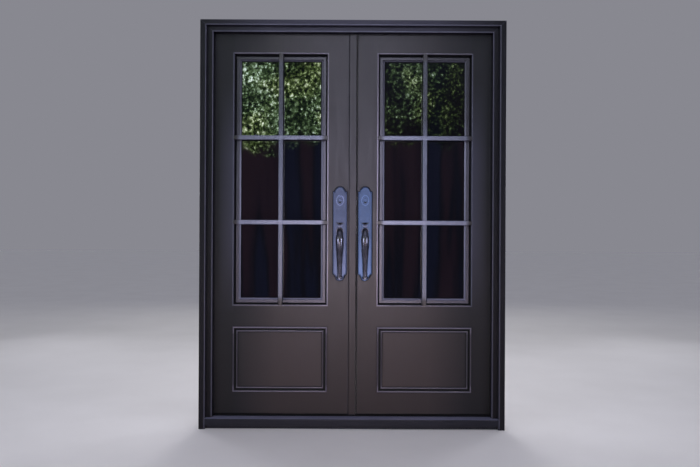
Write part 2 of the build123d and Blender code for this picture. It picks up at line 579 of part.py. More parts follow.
# ------------------------------------------------------- parts of one leaf only
ast = poly((AST_X0, LEAF_Y1), (AST_X0, 12.0), (-22.0, 12.0), (-22.0, AST_Y0), (AST_X1, AST_Y0), (AST_X1_IN, LEAF_Y1))
ast = fillet([near(ast, -22.0, AST_Y0), near(ast, AST_X1, AST_Y0)], 3.5)
a_in = poly((AST_X0 + 3, LEAF_Y1 - 3), (AST_X0 + 3, 15.0), (-19.0, 15.0), (-19.0, AST_Y0 + 3),
            (ast_edge(AST_Y0 + 3) - 3, AST_Y0 + 3), (ast_edge(LEAF_Y1 - 3) - 3, LEAF_Y1 - 3))
ast_z0, ast_z1 = LEAF_Z0, LEAF_Z1
strike = prism_z(poly((ast_edge(19) - 3, 19), (ast_edge(19), 19), (ast_edge(46), 46), (ast_edge(46) - 3, 46)), 1165, 1395)
a = prism_z(ast, ast_z0, ast_z1) - prism_z(a_in, ast_z0 - 5, ast_z1 - 3)
a -= strike
a -= bx(-30, 30, AST_Y0 - 2, LEAF_Y0, 2369.0, 2400)      # the front strip ends under the head stop
put("astragal", a)

sp = strike - bx(15, 29, 26, 39, 1194.5, 1217.5) - bx(15, 29, 23.5, 41.5, 1341, 1375)
put("strike_plate", sp)

case = bx(31, 112, 20, 45, 1180, 1380) - bx(33, 110, 22, 43, 1182, 1378)
case -= bx(30, 34, 26, 39, 1194.5, 1217.5)
case -= bx(30, 34, 23.5, 41.5, 1341, 1375)
case -= cyl_y(PLATE_X, KNOB_Z, 7.0, 40, 50)
case -= cyl_y(PLATE_X, CYL_Z, 5.0, 15, 50)
face = prism_z(poly((right_edge(19), 19), (31, 19), (31, 46), (right_edge(46), 46)), 1165, 1395)
face = face - bx(20, 35, 26, 39, 1194.5, 1217.5) - bx(20, 35, 23.5, 41.5, 1341, 1375)
put("lock_case", case + face)

lb = bx(29, 66, 26.4, 38.6, 1195, 1217)
lb -= prism_z(poly((28, 26), (39, 26), (28, 38)), 1180, 1230)
put("latch_bolt", lb)
put("dead_bolt", bx(29, 62, 24, 41, 1341.5, 1374.5))

tb = cyl_z(BOLT_X, BOLT_Y, BOLT_R, 2190, 2381) + cyl_y(BOLT_X, 2220, 4.0, BOLT_Y, 62.5) + cyl_y(BOLT_X, 2220, 8.0, 61.6, 70.0)
put("top_flush_bolt", tb)
bb = cyl_z(BOLT_X, BOLT_Y, BOLT_R, 79, 270) + cyl_y(BOLT_X, 240, 4.0, BOLT_Y, 62.5) + cyl_y(BOLT_X, 240, 8.0, 61.6, 70.0)
put("bottom_flush_bolt", bb)

print("nodes", len(PARTS))
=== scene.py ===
import bpy
import bmesh
import math
from mathutils import Vector, Matrix


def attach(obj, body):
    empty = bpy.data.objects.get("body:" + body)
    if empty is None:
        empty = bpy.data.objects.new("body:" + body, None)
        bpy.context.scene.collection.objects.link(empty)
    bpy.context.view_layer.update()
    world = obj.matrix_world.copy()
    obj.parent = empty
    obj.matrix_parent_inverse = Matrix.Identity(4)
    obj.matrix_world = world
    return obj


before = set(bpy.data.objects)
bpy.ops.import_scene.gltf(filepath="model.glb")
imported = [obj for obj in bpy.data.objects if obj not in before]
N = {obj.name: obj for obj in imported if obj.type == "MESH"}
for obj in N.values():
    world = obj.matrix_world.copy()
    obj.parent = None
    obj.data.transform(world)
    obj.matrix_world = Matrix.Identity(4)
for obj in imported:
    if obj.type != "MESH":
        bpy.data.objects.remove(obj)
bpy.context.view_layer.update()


# ------------------------------------------------------------------ materials
class Mat:
    """A small helper that keeps a node tree readable."""

    def __init__(self, name):
        self.m = bpy.data.materials.new(name)
        self.m.use_nodes = True
        self.t = self.m.node_tree
        self.t.nodes.clear()
        self.out = self.t.nodes.new("ShaderNodeOutputMaterial")
        self.b = self.t.nodes.new("ShaderNodeBsdfPrincipled")
        self.t.links.new(self.b.outputs[0], self.out.inputs[0])
        self.co = self.t.nodes.new("ShaderNodeTexCoord").outputs["Object"]

    def link(self, a, b):
        self.t.links.new(a, b)
        return self

    def scaled(self, sx, sy, sz):
        mp = self.t.nodes.new("ShaderNodeMapping")
        mp.inputs["Scale"].default_value = (sx, sy, sz)
        self.link(self.co, mp.inputs["Vector"])
        return mp.outputs[0]

    def noise(self, scale, detail=4.0, rough=0.55, co=None, distort=0.0):
        n = self.t.nodes.new("ShaderNodeTexNoise")
        n.inputs["Scale"].default_value = scale
        n.inputs["Detail"].default_value = detail
        n.inputs["Roughness"].default_value = rough
        n.inputs["Distortion"].default_value = distort
        self.link(co or self.co, n.inputs["Vector"])
        return n.outputs["Fac"]

    def ramp(self, fac, stops):
        r = self.t.nodes.new("ShaderNodeValToRGB")
        e = r.color_ramp.elements
        while len(e) > 1:
            e.remove(e[-1])
        e[0].position, e[0].color = stops[0][0], stops[0][1]
        for p, c in stops[1:]:
            k = e.new(p)
            k.color = c
        self.link(fac, r.inputs[0])
        return r.outputs[0]

    def math(self, op, a, b=None, c=None):
        n = self.t.nodes.new("ShaderNodeMath")
        n.operation = op
        for i, v in enumerate((a, b, c)):
            if v is None:
                continue
            if isinstance(v, (int, float)):
                n.inputs[i].default_value = v
            else:
                self.link(v, n.inputs[i])
        return n.outputs[0]

    def range(self, v, a, b, c, d):
        n = self.t.nodes.new("ShaderNodeMapRange")
        for i, x in zip((1, 2, 3, 4), (a, b, c, d)):
            n.inputs[i].default_value = x
        self.link(v, n.inputs[0])
        return n.outputs[0]

    def mix(self, fac, a, b, mode="MIX"):
        n = self.t.nodes.new("ShaderNodeMix")
        n.data_type = "RGBA"
        n.blend_type = mode
        if isinstance(fac, (int, float)):
            n.inputs[0].default_value = fac
        else:
            self.link(fac, n.inputs[0])
        for v, s in ((a, n.inputs[6]), (b, n.inputs[7])):
            if isinstance(v, (tuple, list)):
                s.default_value = tuple(v) + ((1.0,) if len(v) == 3 else ())
            else:
                self.link(v, s)
        return n.outputs[2]

    def bump(self, height, strength, distance, normal=None):
        n = self.t.nodes.new("ShaderNodeBump")
        n.inputs["Strength"].default_value = strength
        n.inputs["Distance"].default_value = distance
        self.link(height, n.inputs["Height"])
        if normal is not None:
            self.link(normal, n.inputs["Normal"])
        return n.outputs[0]

    def edges(self, radius, normal=None):
        """Mask of the convex and concave edges, from a rounded normal against the flat one."""
        b = self.t.nodes.new("ShaderNodeBevel")
        b.samples = 6
        b.inputs["Radius"].default_value = radius
        g = self.t.nodes.new("ShaderNodeNewGeometry").outputs["Normal"]
        d = self.t.nodes.new("ShaderNodeVectorMath")
        d.operation = "DOT_PRODUCT"
        self.link(b.outputs[0], d.inputs[0])
        self.link(g, d.inputs[1])
        return self.range(d.outputs["Value"], 0.985, 0.80, 0.0, 1.0)

    def painted_occlusion(self, distance):
        """1 in grooves and along the foot of raised parts, 0 on open faces."""
        a = self.t.nodes.new("ShaderNodeAmbientOcclusion")
        a.samples = 6
        a.inputs["Distance"].default_value = distance
        return self.range(a.outputs["AO"], 0.88, 0.45, 0.0, 1.0)

    def ring(self, cx, hx, cz, hz):
        """Signed distance to a rectangle on each leaf: negative inside it."""
        a = self.math("SUBTRACT", self.math("ABSOLUTE", self.math("SUBTRACT", self.x(), cx)), hx)
        b = self.math("SUBTRACT", self.math("ABSOLUTE", self.math("SUBTRACT", self.z(), cz)), hz)
        return self.math("MAXIMUM", a, b)

    def peak(self, v, centre, half):
        return self.range(self.math("ABSOLUTE", self.math("SUBTRACT", v, centre)), half, 0.0, 0.0, 1.0)

    def front(self):
        n = self.t.nodes.new("ShaderNodeSeparateXYZ")
        self.link(self.t.nodes.new("ShaderNodeTexCoord").outputs["Normal"], n.inputs[0])
        return self.range(self.math("MULTIPLY", n.outputs[1], -1.0), 0.25, 0.60, 0.0, 1.0)

    def x(self):
        s = self.t.nodes.new("ShaderNodeSeparateXYZ")
        self.link(self.co, s.inputs[0])
        return self.math("ABSOLUTE", s.outputs[0])

    def up(self):
        n = self.t.nodes.new("ShaderNodeSeparateXYZ")
        self.link(self.t.nodes.new("ShaderNodeTexCoord").outputs["Normal"], n.inputs[0])
        return n.outputs[2]

    def z(self):
        s = self.t.nodes.new("ShaderNodeSeparateXYZ")
        self.link(self.co, s.inputs[0])
        return s.outputs[2]


def c4(r, g, b):
    return (r, g, b, 1.0)


def paint(name, dark, light, low, rough=0.40, metal=0.30, dusty=1.0, dust_and_sheen=None, rub_and_highlight=None, hollow=False, ior=1.5,
          painted_top_shade=0.0, occlusion_shade=0.0, outer=None, ends=None, opening_highlight=None, step_highlight=None, bead_highlight=None, level_bar_highlight=None, stile_sheen=None, pane_edge_highlight=None):
    """Satin bronze paint on steel: cloudy tone, faint brushing, orange peel, dust low down."""
    m = Mat(name)
    cloud = m.noise(3.2, 5.0, 0.62, distort=0.4)
    brush = m.noise(9.0, 6.0, 0.7, co=m.scaled(9.0, 9.0, 0.55))
    speck = m.noise(620.0, 2.0, 0.6)
    tone = m.math("ADD", m.math("MULTIPLY", cloud, 0.62), m.math("MULTIPLY", brush, 0.38))
    col = m.ramp(tone, [(0.32, c4(*dark)), (0.68, c4(*light))])
    col = m.mix(m.range(speck, 0.60, 0.80, 0.0, 0.35), col, tuple(x * 1.9 for x in light))
    z = m.z()
    lowf = m.range(m.math("ADD", z, m.math("MULTIPLY", cloud, 0.35)), 1.15, 0.15, 0.0, 0.75 * dusty)
    col = m.mix(lowf, col, low)
    if painted_top_shade:
        # painted shade: the upper part is painted darker, as if shaded from above
        col = m.mix(m.range(z, 1.68, 1.86, 0.0, painted_top_shade), col, tuple(x * 0.30 for x in dark))
    if rub_and_highlight:
        # edges polished by wear and cleaning, and also painted lighter as a painted highlight
        wear_and_highlight = m.math("MULTIPLY", m.edges(0.0030), 0.85)
        if opening_highlight:
            # the welded and ground joints between rails and stiles don't show
            seam = m.math("MAXIMUM", m.peak(m.x(), 0.155, 0.012), m.peak(m.x(), 0.715, 0.012))
            seam = m.math("GREATER_THAN", seam, 0.05)
            away = m.math("GREATER_THAN", m.math("ABSOLUTE", m.math("SUBTRACT", z, 1.4915)), 0.7575)
            wear_and_highlight = m.math("MULTIPLY", wear_and_highlight, m.math("SUBTRACT", 1.0, m.math("MULTIPLY", seam, away)))
        if ends:
            # the bar's ends keep the tone of the leaf they are welded to, without the painted highlight of the bar's
            # middle
            e = m.math("MULTIPLY", m.range(z, 0.760, 0.790, 0.0, 1.0), m.range(z, 2.190, 2.225, 1.0, 0.0))
            e = m.math("MULTIPLY", e, m.math("MULTIPLY", m.range(m.x(), 0.168, 0.190, 0.0, 1.0), m.range(m.x(), 0.680, 0.705, 1.0, 0.0)))
            wear_and_highlight = m.math("MULTIPLY", wear_and_highlight, e)
            col = m.mix(e, ends, col)
        col = m.mix(wear_and_highlight, col, rub_and_highlight)
    if pane_edge_highlight:
        # painted highlight along the edge next to the pane, fainter towards the top
        lit_line = m.math("MULTIPLY", m.peak(m.ring(0.435, 0.243, 1.4915, 0.7185), 0.0030, 0.0065), m.front())
        col = m.mix(m.math("MULTIPLY", lit_line, m.range(z, 1.68, 1.86, 0.85, 0.30)), col, pane_edge_highlight)
    if level_bar_highlight:
        # painted highlight: the level bars of the grille are painted paler, as if lit from above
        lit_level_bars = m.math("MAXIMUM", m.math("LESS_THAN", m.math("ABSOLUTE", m.math("SUBTRACT", z, 1.2325)), 0.0125),
                     m.math("LESS_THAN", m.math("ABSOLUTE", m.math("SUBTRACT", z, 1.7435)), 0.0125))
        lit_level_bars = m.math("MULTIPLY", lit_level_bars, m.math("MULTIPLY", m.range(m.x(), 0.168, 0.190, 0.0, 1.0), m.range(m.x(), 0.680, 0.705, 1.0, 0.0)))
        col = m.mix(lit_level_bars, col, level_bar_highlight, "MULTIPLY")
    if stile_sheen:
        # painted sheen: paler beside the glass at mid height
        h = m.math("MULTIPLY", m.range(m.x(), 0.810, 0.725, 0.0, 1.0),
                   m.range(m.math("ABSOLUTE", m.math("SUBTRACT", z, 1.38)), 0.70, 0.25, 0.0, 0.75))
        col = m.mix(h, col, stile_sheen)
    side = None
    if outer:
        # painted shade: towards the hinges the coat is painted darker, and it is duller
        side = m.range(m.x(), 0.46, 0.712, 0.0, 1.0)
        col = m.mix(side, col, outer)
    if opening_highlight:
        # painted highlight: a bright line along the rounded edge of the glazed opening, stronger near the meeting side
        # at mid height
        lit_line = m.math("MULTIPLY", m.peak(m.ring(0.435, 0.280, 1.4915, 0.7555), 0.0036, 0.0062), m.front())
        brightest_zone = m.math("MULTIPLY", m.range(m.x(), 0.25, 0.17, 0.0, 1.0),
                      m.range(m.math("ABSOLUTE", m.math("SUBTRACT", z, 1.30)), 0.75, 0.35, 0.0, 1.0))
        col = m.mix(m.math("MULTIPLY", lit_line, 0.95), col, m.mix(brightest_zone, opening_highlight, tuple(q * 2.2 for q in opening_highlight)))
    if step_highlight:
        # painted highlight along the inner edge of each step of the frame; the head is painted paler and its lines
        # brighter
        d1 = m.math("MAXIMUM", m.math("SUBTRACT", m.x(), 0.873), m.math("SUBTRACT", z, 2.404))
        d2 = m.math("MAXIMUM", m.math("SUBTRACT", m.x(), 0.835), m.math("SUBTRACT", z, 2.370))
        lit_line = m.math("MAXIMUM", m.peak(d1, 0.0036, 0.0060), m.peak(d2, 0.0036, 0.0060))
        lit_head = m.math("MULTIPLY", m.range(z, 2.365, 2.372, 0.0, 1.0), m.range(m.x(), 0.90, 0.50, 0.0, 1.0))
        col = m.mix(lit_head, col, (0.028, 0.026, 0.042))
        col = m.mix(m.math("MULTIPLY", m.math("MULTIPLY", lit_line, m.front()), 0.95), col,
                    m.mix(lit_head, step_highlight, tuple(q * 1.5 for q in step_highlight)))
    painted_occlusion = None
    if occlusion_shade:
        # painted shade from ambient occlusion in grooves and along the foot of raised parts
        painted_occlusion = m.math("MULTIPLY", m.painted_occlusion(0.014), occlusion_shade)
        if bead_highlight:
            # two beads: painted highlight on the crests, brighter on the top and bottom runs, and painted shade in the
            # furrows between and beside them
            d = m.math("MULTIPLY", m.ring(0.435, 0.285, 0.406, 0.197), -1.0)
            crest_highlight = m.math("MAXIMUM", m.peak(d, 0.0050, 0.0055), m.math("MULTIPLY", m.peak(d, 0.0265, 0.0050), 0.75))
            furrow_shade = m.math("MAXIMUM", m.range(m.math("ABSOLUTE", m.math("SUBTRACT", d, 0.0160)), 0.0075, 0.0045, 0.0, 1.0),
                            m.range(d, 0.0300, 0.0320, 0.0, 1.0))
            lit_run = m.range(m.math("ABSOLUTE", m.math("SUBTRACT", z, 0.406)), 0.150, 0.168, 0.38, 1.0)
            col = m.mix(m.math("MULTIPLY", m.math("MULTIPLY", crest_highlight, 0.85), lit_run), col, bead_highlight)
            painted_occlusion = m.math("MAXIMUM", painted_occlusion, furrow_shade)
        col = m.mix(painted_occlusion, col, (0.0022, 0.0018, 0.0030))
    if hollow:
        # painted shade: the pocket behind the thumb slot is painted near black
        sx = m.t.nodes.new("ShaderNodeSeparateXYZ")
        m.link(m.co, sx.inputs[0])
        ax = m.math("ABSOLUTE", m.math("SUBTRACT", m.math("ABSOLUTE", sx.outputs[0]), 0.076))
        az = m.math("ABSOLUTE", m.math("SUBTRACT", sx.outputs[2], 1.233))
        k = m.math("MULTIPLY", m.math("LESS_THAN", ax, 0.0247), m.math("LESS_THAN", az, 0.0177))
        k = m.math("MULTIPLY", k, m.math("MULTIPLY", m.math("GREATER_THAN", sx.outputs[1], 0.0050),
                                         m.math("LESS_THAN", sx.outputs[1], 0.055)))
        col = m.mix(k, col, (0.003, 0.003, 0.0035))
    if dust_and_sheen:
        # dust on the faces that look up, together with a painted bluish sheen of light from above
        up = m.math("MULTIPLY", m.range(m.up(), 0.55, 0.90, 0.0, 1.0), m.range(cloud, 0.25, 0.70, 0.65, 1.0))
        col = m.mix(up, col, dust_and_sheen)
    m.link(col, m.b.inputs["Base Color"])
    m.b.inputs["Metallic"].default_value = metal
    m.b.inputs["IOR"].default_value = ior
    r = m.math("ADD", m.range(brush, 0.3, 0.7, rough - 0.05, rough + 0.06), m.math("MULTIPLY", lowf, 0.10))
    if side is not None:
        r = m.math("ADD", r, m.math("MULTIPLY", side, 0.13))
    if painted_occlusion is not None:
        r = m.math("ADD", r, m.math("MULTIPLY", painted_occlusion, 0.40))
    m.link(r, m.b.inputs["Roughness"])
    wave = m.noise(5.5, 2.0, 0.5)
    peel = m.noise(430.0, 3.0, 0.55)
    n = m.bump(wave, 0.25, 0.0030)
    n = m.bump(brush, 0.10, 0.0010, n)
    n = m.bump(peel, 0.22, 0.00025, n)
    m.link(n, m.b.inputs["Normal"])
    return m.m


leaf_paint = paint("leaf_paint", (0.0165, 0.0138, 0.0175), (0.027, 0.0222, 0.0280), (0.036, 0.027, 0.0270), rough=0.35,
                   rub_and_highlight=(0.120, 0.112, 0.150), hollow=True, ior=1.42, occlusion_shade=0.85, outer=(0.0095, 0.0089, 0.0130),
                   painted_top_shade=0.22, opening_highlight=(0.165, 0.150, 0.190))
panel_paint = paint("panel_paint", (0.0185, 0.0155, 0.0190), (0.030, 0.0245, 0.0300), (0.055, 0.041, 0.0410), rough=0.35,
                    rub_and_highlight=(0.120, 0.112, 0.150), ior=1.42, occlusion_shade=0.85, outer=(0.0130, 0.0115, 0.0150))
bead_paint = paint("bead_paint", (0.0175, 0.0148, 0.0185), (0.030, 0.0250, 0.0320), (0.038, 0.030, 0.0320), rough=0.30,
                   rub_and_highlight=(0.120, 0.112, 0.150), ior=1.52, occlusion_shade=0.5, outer=(0.0165, 0.0148, 0.0200), bead_highlight=(0.20, 0.18, 0.24))
# painted shade: the hinge stiles get a darker copy of the leaf paint
stile_paint_shaded = paint("stile_paint_shaded", (0.0080, 0.0075, 0.0112), (0.0125, 0.0117, 0.0170), (0.0085, 0.0072, 0.0090), rough=0.48,
                    rub_and_highlight=(0.110, 0.110, 0.155), ior=1.42, occlusion_shade=0.85, opening_highlight=(0.085, 0.088, 0.120), painted_top_shade=0.30,
                    stile_sheen=(0.0400, 0.0395, 0.0620))
# painted shade: the frame gets a darker copy of the bronze paint
frame_paint = paint("frame_paint", (0.0036, 0.0032, 0.0064), (0.0072, 0.0062, 0.0115), (0.0100, 0.0085, 0.0120), rough=0.42,
                    metal=0.2, rub_and_highlight=(0.070, 0.066, 0.100), ior=1.33, occlusion_shade=0.85, step_highlight=(0.088, 0.087, 0.118))
# painted light: the sash and the grille get paler, bluer copies of the bronze paint
sash_paint = paint("sash_paint", (0.050, 0.047, 0.066), (0.086, 0.082, 0.113), (0.064, 0.058, 0.078), rough=0.34, metal=0.3,
                   dusty=0.2, rub_and_highlight=(0.18, 0.18, 0.25), painted_top_shade=0.70, pane_edge_highlight=(0.17, 0.17, 0.24))
muntin_paint_lit = paint("muntin_paint_lit", (0.064, 0.069, 0.098), (0.112, 0.120, 0.172), (0.085, 0.082, 0.108), rough=0.33,
                     metal=0.3, dusty=0.1, rub_and_highlight=(0.22, 0.23, 0.32), painted_top_shade=0.80, ends=(0.021, 0.018, 0.022), level_bar_highlight=(1.9, 1.85, 1.80))
sill_paint = paint("sill_paint", (0.012, 0.013, 0.020), (0.021, 0.022, 0.033), (0.020, 0.020, 0.029), rough=0.38,
                   metal=0.35, dusty=0.5, dust_and_sheen=(0.23, 0.23, 0.32), ior=1.40, occlusion_shade=0.7, rub_and_highlight=(0.12, 0.12, 0.17))


def hardware(name, dark, light, rough=0.30, rub_and_highlight=3.0, width=0.0016, slot_arm_shade=False, slot=False):
    m = Mat(name)
    cloud = m.noise(26.0, 5.0, 0.6, distort=0.3)
    fine = m.noise(240.0, 3.0, 0.6)
    col = m.ramp(cloud, [(0.30, c4(*dark)), (0.70, c4(*light))])
    col = m.mix(m.range(fine, 0.58, 0.78, 0.0, 0.4), col, tuple(x * 1.5 for x in light))
    if slot:
        # painted light: the lower half of the plates is painted paler
        col = m.mix(m.range(m.z(), 1.17, 0.93, 0.0, 0.34), col, tuple(x * 2.2 for x in light))
    # rubbed patches, and rubbed edges that also carry a painted highlight
    worn = m.noise(70.0, 4.0, 0.65)
    col = m.mix(m.range(worn, 0.56, 0.72, 0.0, 0.30), col, tuple(x * 1.35 for x in light))
    wear_and_highlight = m.math("MULTIPLY", m.edges(width), 0.8)
    if slot:
        # no wear or painted highlight inside and round the thumb slot
        sx = m.t.nodes.new("ShaderNodeSeparateXYZ")
        m.link(m.co, sx.inputs[0])
        ax = m.math("ABSOLUTE", m.math("SUBTRACT", m.math("ABSOLUTE", sx.outputs[0]), 0.076))
        az = m.math("ABSOLUTE", m.math("SUBTRACT", sx.outputs[2], 1.226))
        box = m.math("MULTIPLY", m.math("LESS_THAN", ax, 0.029), m.math("LESS_THAN", az, 0.013))
        wear_and_highlight = m.math("MULTIPLY", wear_and_highlight, m.math("SUBTRACT", 1.0, box))
    col = m.mix(wear_and_highlight, col, tuple(min(0.7, x * rub_and_highlight) for x in light))
    if slot:
        # painted shade: the cut walls of the slot are painted black
        slot_shade = m.math("MULTIPLY", m.math("LESS_THAN", ax, 0.0234), m.math("LESS_THAN", az, 0.0078))
        slot_shade = m.math("MULTIPLY", slot_shade, m.math("GREATER_THAN", sx.outputs[1], -0.0016))
        col = m.mix(slot_shade, col, (0.003, 0.003, 0.004))
    if slot_arm_shade:
        # painted shade: the arm in the slot is painted black; only the pad keeps the metal's colour
        col = m.mix(m.range(m.z(), 1.2192, 1.2212, 0.0, 1.0), col, (0.004, 0.004, 0.005))
    m.link(col, m.b.inputs["Base Color"])
    m.b.inputs["Metallic"].default_value = 0.85
    m.link(m.range(cloud, 0.3, 0.7, rough - 0.05, rough + 0.08), m.b.inputs["Roughness"])
    n = m.bump(cloud, 0.20, 0.0008)
    n = m.bump(fine, 0.20, 0.00018, n)
    m.link(n, m.b.inputs["Normal"])
    return m.m


plate_metal = hardware("plate_metal", (0.028, 0.035, 0.060), (0.042, 0.051, 0.086), rough=0.36, rub_and_highlight=3.6, width=0.0042, slot=True)
# painted light: the right plate gets a paler, bluer copy of the plate metal
plate_right_lit = hardware("plate_right_lit", (0.026, 0.038, 0.070), (0.038, 0.057, 0.108), rough=0.36, rub_and_highlight=2.8, width=0.0042, slot=True)
# painted light: the thumb piece gets a much paler copy of the metal
thumb_metal_lit = hardware("thumb_metal_lit", (0.160, 0.160, 0.215), (0.240, 0.240, 0.310), rough=0.42, rub_and_highlight=1.6, slot_arm_shade=True)
grip_metal = hardware("grip_metal", (0.042, 0.040, 0.050), (0.080, 0.078, 0.096), rough=0.20, rub_and_highlight=1.5)
latch_metal = hardware("latch_metal", (0.030, 0.029, 0.037), (0.056, 0.055, 0.070), rough=0.46, rub_and_highlight=1.4)
# painted shadow: the key cylinders are near black, standing in for the shadow under the keyhole covers
core_metal_shade = hardware("core_metal_shade", (0.006, 0.006, 0.007), (0.012, 0.012, 0.015), rough=0.45, rub_and_highlight=1.5)


def steel():
    m = Mat("zinc_steel")
    streak = m.noise(60.0, 4.0, 0.6, co=m.scaled(1.0, 1.0, 14.0))
    spangle = m.noise(120.0, 2.0, 0.5)
    col = m.ramp(streak, [(0.3, c4(0.36, 0.36, 0.37)), (0.7, c4(0.58, 0.58, 0.60))])
    col = m.mix(m.range(spangle, 0.55, 0.7, 0.0, 0.3), col, (0.30, 0.30, 0.31))
    m.link(col, m.b.inputs["Base Color"])
    m.b.inputs["Metallic"].default_value = 1.0
    m.link(m.range(streak, 0.3, 0.7, 0.28, 0.46), m.b.inputs["Roughness"])
    m.link(m.bump(streak, 0.15, 0.0002), m.b.inputs["Normal"])
    return m.m


zinc = steel()


def dark_steel():
    m = Mat("oiled_steel")
    cloud = m.noise(40.0, 4.0, 0.6)
    scale = m.noise(260.0, 3.0, 0.6)
    col = m.ramp(cloud, [(0.3, c4(0.012, 0.012, 0.013)), (0.7, c4(0.026, 0.026, 0.028))])
    col = m.mix(m.range(scale, 0.58, 0.75, 0.0, 0.4), col, (0.05, 0.048, 0.046))
    m.link(col, m.b.inputs["Base Color"])
    m.b.inputs["Metallic"].default_value = 0.6
    m.link(m.range(cloud, 0.3, 0.7, 0.45, 0.62), m.b.inputs["Roughness"])
    m.link(m.bump(scale, 0.2, 0.0002), m.b.inputs["Normal"])
    return m.m


oiled = dark_steel()


def rubber():
    m = Mat("seal_rubber")
    a = m.noise(180.0, 4.0, 0.6)
    m.link(m.ramp(a, [(0.3, c4(0.0030, 0.0030, 0.0036)), (0.7, c4(0.0070, 0.0070, 0.0080))]), m.b.inputs["Base Color"])
    m.b.inputs["IOR"].default_value = 1.18
    m.link(m.range(a, 0.3, 0.7, 0.62, 0.80), m.b.inputs["Roughness"])
    m.link(m.bump(a, 0.3, 0.0003), m.b.inputs["Normal"])
    return m.m


seal = rubber()


def dark_glass():
    """Clear glass with an unlit room behind it: near black, sharp gloss, slightly wavy."""
    m = Mat("dark_glass")
    a = m.noise(1.6, 3.0, 0.5)
    col = m.ramp(a, [(0.3, c4(0.0040, 0.0040, 0.0075)), (0.7, c4(0.0085, 0.0080, 0.0130))])
    m.link(col, m.b.inputs["Base Color"])
    m.b.inputs["IOR"].default_value = 1.95
    m.b.inputs["Metallic"].default_value = 0.0
    film = m.noise(14.0, 5.0, 0.6)
    m.link(m.range(film, 0.35, 0.75, 0.006, 0.024), m.b.inputs["Roughness"])
    m.link(m.bump(m.noise(2.1, 2.0, 0.4), 0.30, 0.0020), m.b.inputs["Normal"])
    return m.m


glass = dark_glass()


def keyhole_black():
    m = Mat("hollow_black")
    a = m.noise(300.0, 2.0, 0.5)
    m.link(m.ramp(a, [(0.3, c4(0.002, 0.002, 0.002)), (0.7, c4(0.006, 0.006, 0.006))]), m.b.inputs["Base Color"])
    m.b.inputs["Roughness"].default_value = 0.9
    return m.m


hollow = keyhole_black()


def set_mat(node, mat):
    o = N[node]
    if not o.material_slots:
        o.data.materials.append(mat)
    for s in o.material_slots:
        s.link = "OBJECT"
        s.material = mat


for n in N:
    if "glass" in n:
        set_mat(n, glass)
    elif n in ("frame_weatherstrip", "left_sash_seal", "right_sash_seal"):
        set_mat(n, seal)
    elif n in ("left_jamb", "right_jamb", "head_jamb", "hinge_frame_knuckles"):
        set_mat(n, frame_paint)
    elif n == "threshold":
        set_mat(n, sill_paint)
    elif "panel_moulding" in n:
        set_mat(n, bead_paint)
    elif "kick_panel" in n:
        set_mat(n, panel_paint)
    elif "hinge_stile" in n:
        set_mat(n, stile_paint_shaded)
    elif "sash_frame" in n:
        set_mat(n, sash_paint)
    elif "muntin" in n:
        set_mat(n, muntin_paint_lit)
    elif "thumb_piece" in n:
        set_mat(n, thumb_metal_lit)
    elif "cylinder" in n:
        set_mat(n, core_metal_shade)
    elif n in ("right_outer_plate", "right_keyhole_cover"):
        set_mat(n, plate_right_lit)
    elif "outer_plate" in n or "inner_plate" in n or "keyhole_cover" in n:
        set_mat(n, plate_metal)
    elif "pull_grip" in n or "knob" in n or n == "thumbturn":
        set_mat(n, grip_metal)
    elif "sash_latch" in n or "sash_hinge" in n:
        set_mat(n, latch_metal)
    elif n == "lock_case":
        set_mat(n, oiled)
    elif n in ("hinge_pins", "hinge_bearings", "latch_bolt", "dead_bolt", "strike_plate",
               "top_flush_bolt", "bottom_flush_bolt"):
        set_mat(n, zinc)
    else:
        set_mat(n, leaf_paint)


# -------------------------------------------------------------------- details
def piece(name, bm, mat, body, smooth=True):
    me = bpy.data.meshes.new(name)
    bmesh.ops.recalc_face_normals(bm, faces=bm.faces)
    bm.to_mesh(me)
    bm.free()
    o = bpy.data.objects.new(name, me)
    bpy.context.scene.collection.objects.link(o)
    o.data.materials.append(mat)
    if smooth:
        for f in me.polygons:
            f.use_smooth = True
        me.set_sharp_from_angle(angle=math.radians(35))
    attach(o, body)
    return o


def screw_proto():
    """Oval-head slotted screw of unit radius, head up +Z, cut by a real slot."""
    prof = [(0.0, 0.34), (0.30, 0.325), (0.58, 0.27), (0.80, 0.18), (0.95, 0.07), (1.0, 0.0), (0.92, -0.12),
            (0.55, -0.50), (0.40, -0.62), (0.0, -0.62)]
    bm = bmesh.new()
    n = 36
    rings = []
    for r, z in prof:
        if r == 0.0:
            rings.append([bm.verts.new((0, 0, z))])
        else:
            rings.append([bm.verts.new((r * math.cos(2 * math.pi * i / n), r * math.sin(2 * math.pi * i / n), z))
                          for i in range(n)])
    for a, b in zip(rings, rings[1:]):
        for i in range(n):
            j = (i + 1) % n
            if len(a) == 1:
                bm.faces.new((a[0], b[i], b[j]))
            elif len(b) == 1:
                bm.faces.new((a[i], b[0], a[j]))
            else:
                bm.faces.new((a[i], b[i], b[j], a[j]))
    bmesh.ops.recalc_face_normals(bm, faces=bm.faces)
    me = bpy.data.meshes.new("screw_blank")
    bm.to_mesh(me)
    bm.free()
    o = bpy.data.objects.new("screw_blank", me)
    cb = bmesh.new()
    bmesh.ops.create_cube(cb, size=1.0)
    for v in cb.verts:
        v.co.x *= 2.4
        v.co.y *= 0.22
        v.co.z = v.co.z * 0.6 + 0.36
    cm = bpy.data.meshes.new("screw_cut")
    cb.to_mesh(cm)
    cb.free()
    c = bpy.data.objects.new("screw_cut", cm)
    for k in (o, c):
        bpy.context.scene.collection.objects.link(k)
    md = o.modifiers.new("cut", "BOOLEAN")
    md.operation = "DIFFERENCE"
    md.solver = "EXACT"
    md.object = c
    dg = bpy.context.evaluated_depsgraph_get()
    out = bpy.data.meshes.new_from_object(o.evaluated_get(dg))
    for k in (o, c):
        bpy.data.objects.remove(k)
    return out


SCREW = screw_proto()


